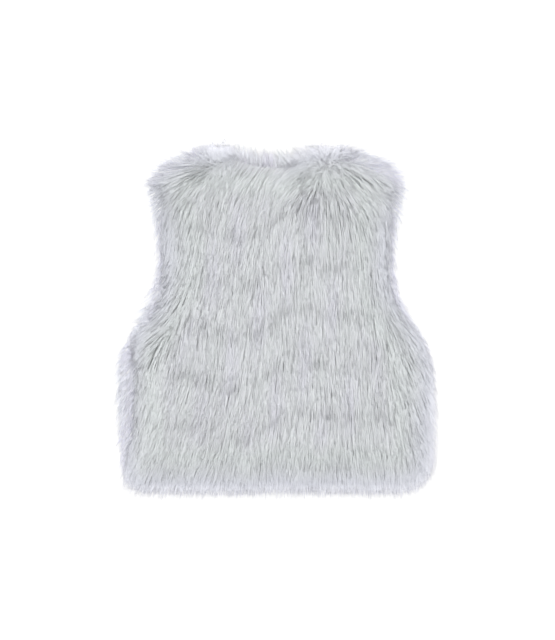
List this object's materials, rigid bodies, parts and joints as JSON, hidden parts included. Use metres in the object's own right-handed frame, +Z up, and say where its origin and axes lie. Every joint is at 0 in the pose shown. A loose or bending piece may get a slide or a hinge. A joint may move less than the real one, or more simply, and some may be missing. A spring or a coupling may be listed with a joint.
{
  "type": "faux-fur gilet laid flat",
  "caption": "Child's sleeveless gilet in long-pile pale grey faux fur, laid flat with its back up, open armholes, shallow back neck and a shaggy straight hem.",
  "frame": {"origin": "on the surface it lies on, below the middle of its outline", "axes": "+Z up, with the back panel uppermost; +Y from the hem to the neck; +X to the right as seen from above, the wearer's right"},
  "size_m": [0.3567, 0.3939, 0.0277],
  "materials": {
    "back_fur": "long straight pile, cool pale grey, softly matte, lying towards the hem",
    "front_fur": "the same pile seen at its ends past the seams, a little paler and bluer",
    "facing_fur": "the same pile standing up behind the neck edge, palest and bluest"
  },
  "bodies": {
    "root": {"back": "back_fur", "front_left": "front_fur", "front_right": "front_fur", "neck_facing": "facing_fur"}
  },
  "joints": []
}
